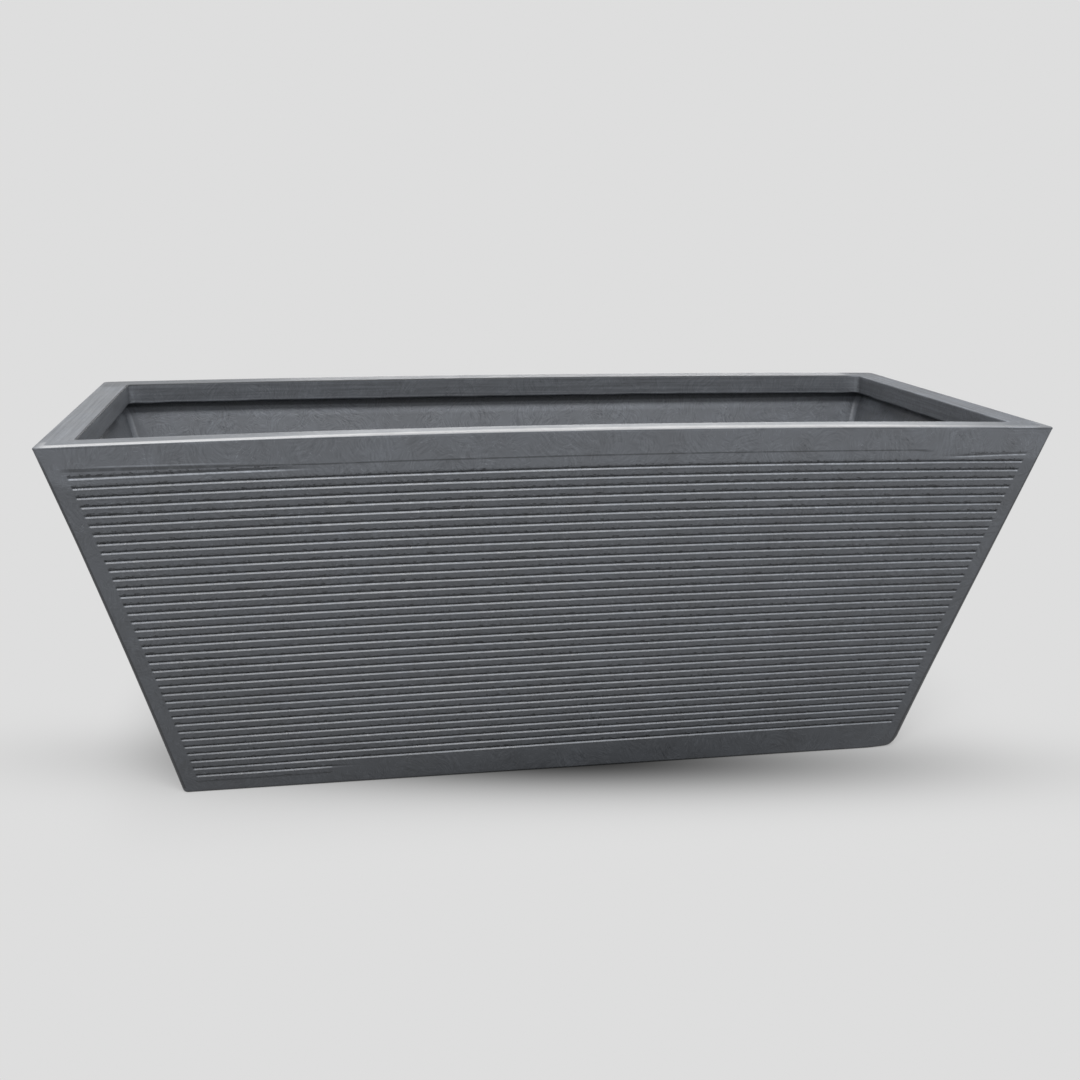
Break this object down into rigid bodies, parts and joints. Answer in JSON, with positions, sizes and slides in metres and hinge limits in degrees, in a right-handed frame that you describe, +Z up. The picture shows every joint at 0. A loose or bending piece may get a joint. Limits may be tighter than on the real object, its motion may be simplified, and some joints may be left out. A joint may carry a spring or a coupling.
{
  "type": "self-watering planter",
  "caption": "Rectangular tapered trough planter with ribbed walls and a turned-in rim, holding a slotted platform, wick cups, fill tube, float level indicator, overflow and drain.",
  "frame": {"origin": "middle of the resting face of the base", "axes": "+X along the trough's length, -Y the front, +Z up out of the mouth"},
  "size_m": [0.8112, 0.3634, 0.313],
  "materials": {
    "shell_plastic": "charcoal rotationally moulded plastic, satin, brushed streaks",
    "platform_plastic": "black moulded plastic, fine grain",
    "cup_plastic": "black moulded plastic, fine grain",
    "tube_plastic": "mid grey extruded plastic tube, faint draw lines",
    "lid_plastic": "blue moulded plastic, fine grain",
    "clear_window": "clear moulded plastic",
    "float_foam": "pale closed-cell foam",
    "flag_plastic": "red gloss moulded plastic",
    "pin_metal": "drawn stainless wire",
    "gasket_rubber": "black rubber, matt",
    "fitting_plastic": "black glass-filled plastic, satin"
  },
  "bodies": {
    "shell": {"planter_shell": "shell_plastic", "overflow_body": "fitting_plastic", "overflow_gasket": "gasket_rubber", "overflow_nut": "fitting_plastic", "overflow_screen": "fitting_plastic"},
    "water_insert": {"platform": "platform_plastic", "post_left_back": "platform_plastic", "post_mid_left_back": "platform_plastic", "post_mid_left_front": "platform_plastic", "post_mid_right_back": "platform_plastic", "post_mid_right_front": "platform_plastic", "post_right_back": "platform_plastic", "fill_tube": "tube_plastic", "fill_funnel": "tube_plastic", "lid_pin": "pin_metal", "indicator_tube": "tube_plastic", "indicator_window": "clear_window"},
    "fill_lid": {"fill_lid": "lid_plastic"},
    "level_float": {"indicator_float": "float_foam", "indicator_rod": "pin_metal", "indicator_flag": "flag_plastic"},
    "wick_cup_left": {"wick_cup_left": "cup_plastic"},
    "wick_cup_centre": {"wick_cup_centre": "cup_plastic"},
    "wick_cup_right": {"wick_cup_right": "cup_plastic"},
    "drain": {"drain_plug": "fitting_plastic", "drain_gasket": "gasket_rubber"}
  },
  "joints": [
    {"name": "insert_lift", "type": "slide", "parent": "shell", "child": "water_insert", "axis": [0, 0, 1], "range_m": [0, 0.32]},
    {"name": "cup_left_lift", "type": "slide", "parent": "water_insert", "child": "wick_cup_left", "axis": [0, 0, 1], "range_m": [0, 0.12]},
    {"name": "cup_centre_lift", "type": "slide", "parent": "water_insert", "child": "wick_cup_centre", "axis": [0, 0, 1], "range_m": [0, 0.12]},
    {"name": "cup_right_lift", "type": "slide", "parent": "water_insert", "child": "wick_cup_right", "axis": [0, 0, 1], "range_m": [0, 0.12]},
    {"name": "lid_hinge", "type": "hinge", "parent": "water_insert", "child": "fill_lid", "pos_m": [-0.2883, -0.105, 0.2855], "axis": [1, 0, 0], "range_deg": [0, 110]},
    {"name": "float_rise", "type": "slide", "parent": "water_insert", "child": "level_float", "axis": [0, 0, 1], "range_m": [0, 0.042]},
    {"name": "drain_pull", "type": "slide", "parent": "shell", "child": "drain", "axis": [0, 0.9749, -0.2227], "range_m": [0, 0.03]}
  ]
}
